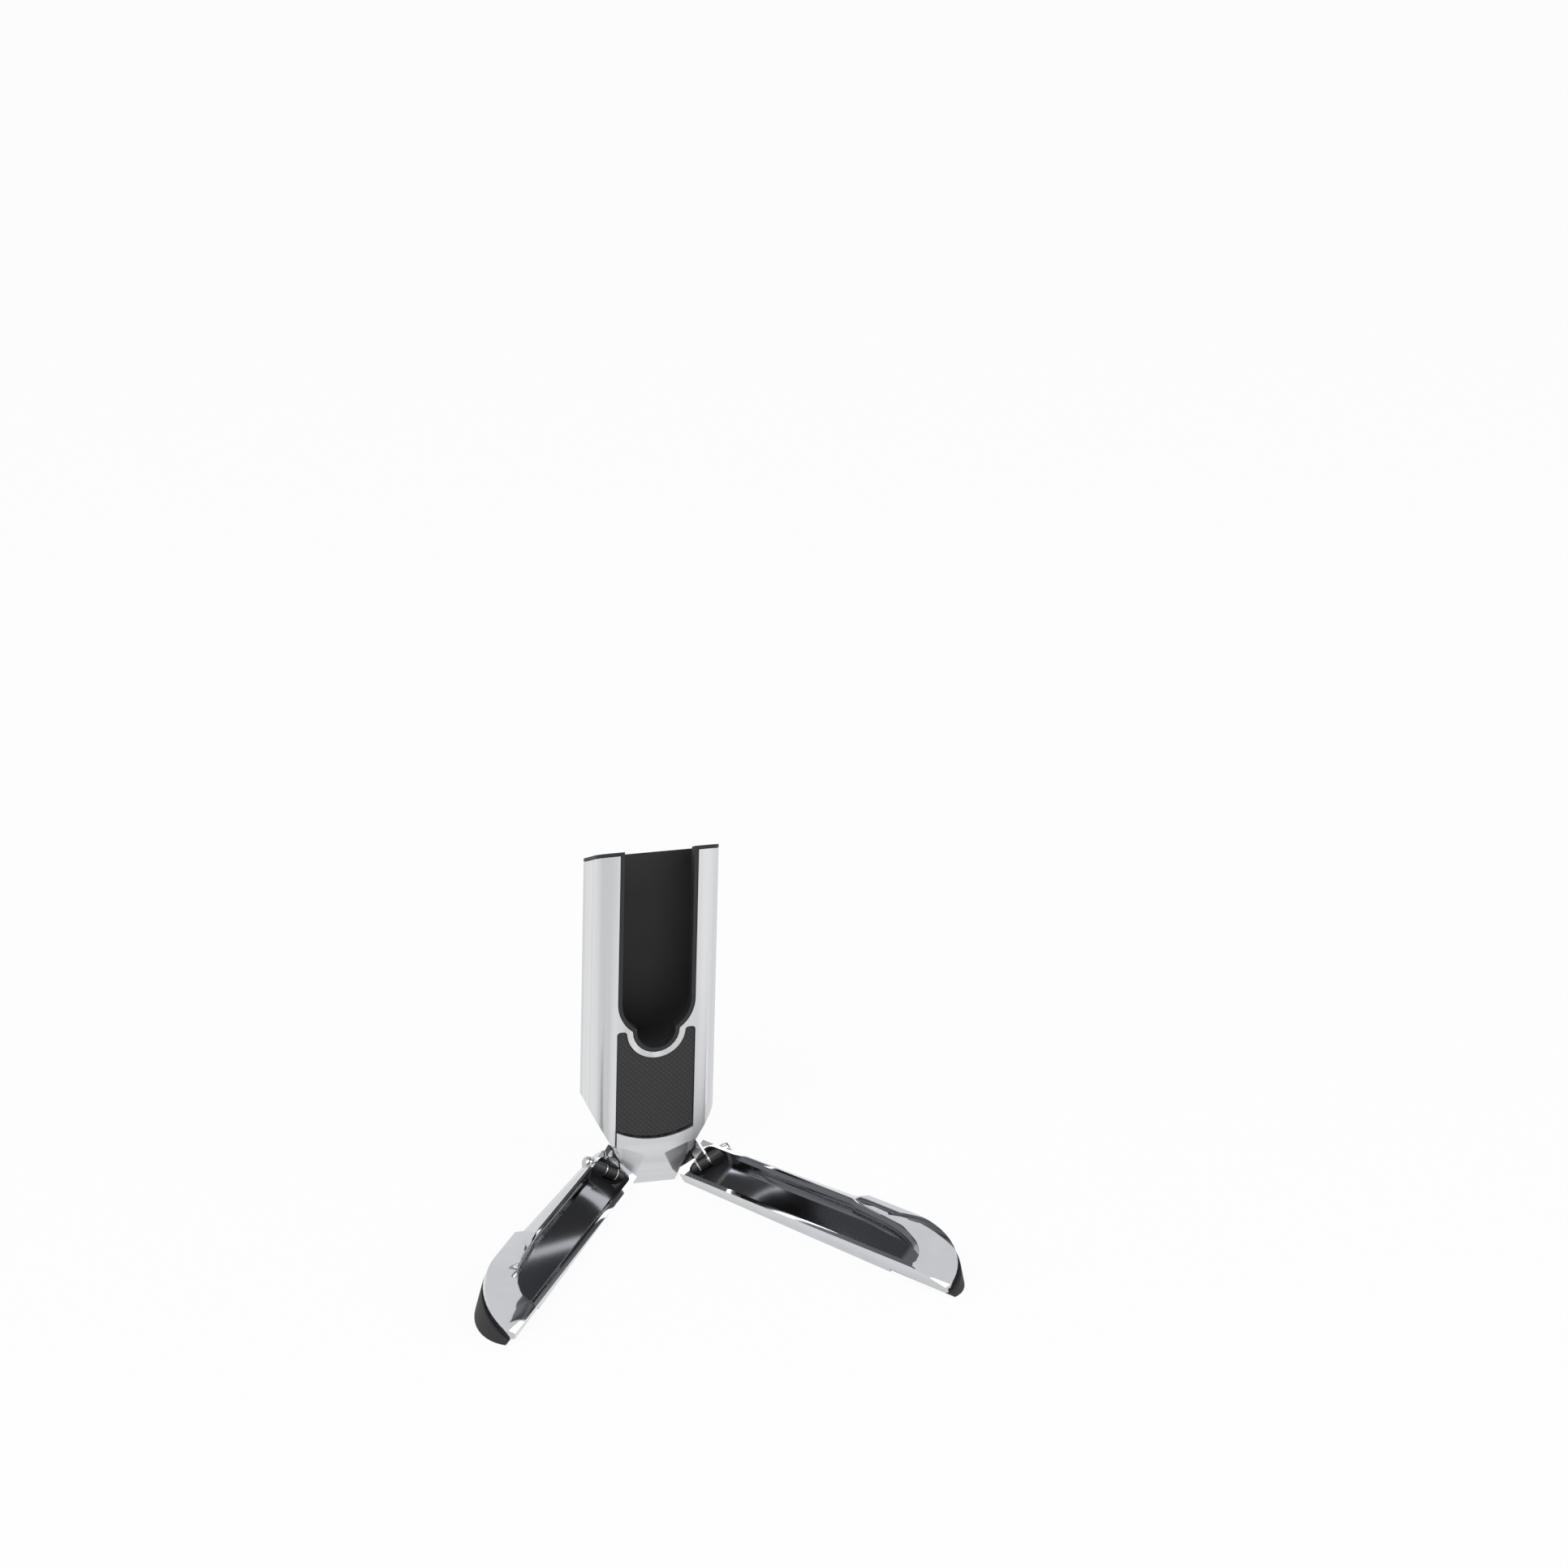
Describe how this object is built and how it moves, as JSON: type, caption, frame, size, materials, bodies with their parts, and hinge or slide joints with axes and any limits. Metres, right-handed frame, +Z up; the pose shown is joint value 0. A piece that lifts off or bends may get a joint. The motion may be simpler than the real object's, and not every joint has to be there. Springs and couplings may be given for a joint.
{
  "type": "bike display stand",
  "caption": "Folding bicycle display stand: an upright C-section cradle holds the end of a crank arm, and dished legs on slanted hinges splay out in front.",
  "frame": {"origin": "point on the floor plane in the middle of the heel's flat resting face, on the cradle's plane of symmetry", "axes": "+Z up along the cradle, -Y towards the open front and the legs, +X to the cradle's right side as seen from the front"},
  "size_m": [0.1724, 0.1304, 0.129],
  "materials": {
    "satin_silver": "satin anodised",
    "polished_chrome": "mirror polished",
    "black_elastomer": "matte elastomer",
    "textured_black": "fine weave texture",
    "moulded_grey": "moulded matte",
    "black_rubber": "matte moulded rubber",
    "plain_steel": "bright zinc",
    "bush_polymer": "machined"
  },
  "bodies": {
    "cradle": {"cradle_shell": "satin_silver", "cradle_liner": "black_elastomer", "seat_block": "moulded_grey", "front_panel": "textured_black", "hinge_block": "satin_silver", "hub_screw_1": "plain_steel", "hub_screw_2": "plain_steel", "seat_screw_1": "plain_steel", "seat_screw_2": "plain_steel", "right_hinge_bush": "bush_polymer", "right_spring_washer": "plain_steel", "left_hinge_bush": "bush_polymer", "left_spring_washer": "plain_steel"},
    "right_leg_body": {"right_leg": "polished_chrome", "right_foot_pad": "black_rubber", "right_foot_screw_1": "plain_steel", "right_foot_screw_2": "plain_steel", "right_hinge_pin": "plain_steel"},
    "left_leg_body": {"left_leg": "polished_chrome", "left_foot_pad": "black_rubber", "left_foot_screw_1": "plain_steel", "left_foot_screw_2": "plain_steel", "left_hinge_pin": "plain_steel"}
  },
  "joints": [
    {"name": "right_leg_fold", "type": "hinge", "parent": "cradle", "child": "right_leg_body", "pos_m": [0.017, -0.0145, 0.0072], "axis": [-0.8746, 0, -0.4848], "range_deg": [0, 106]},
    {"name": "left_leg_fold", "type": "hinge", "parent": "cradle", "child": "left_leg_body", "pos_m": [-0.017, -0.0145, 0.0072], "axis": [-0.8746, 0, 0.4848], "range_deg": [0, 106]}
  ]
}
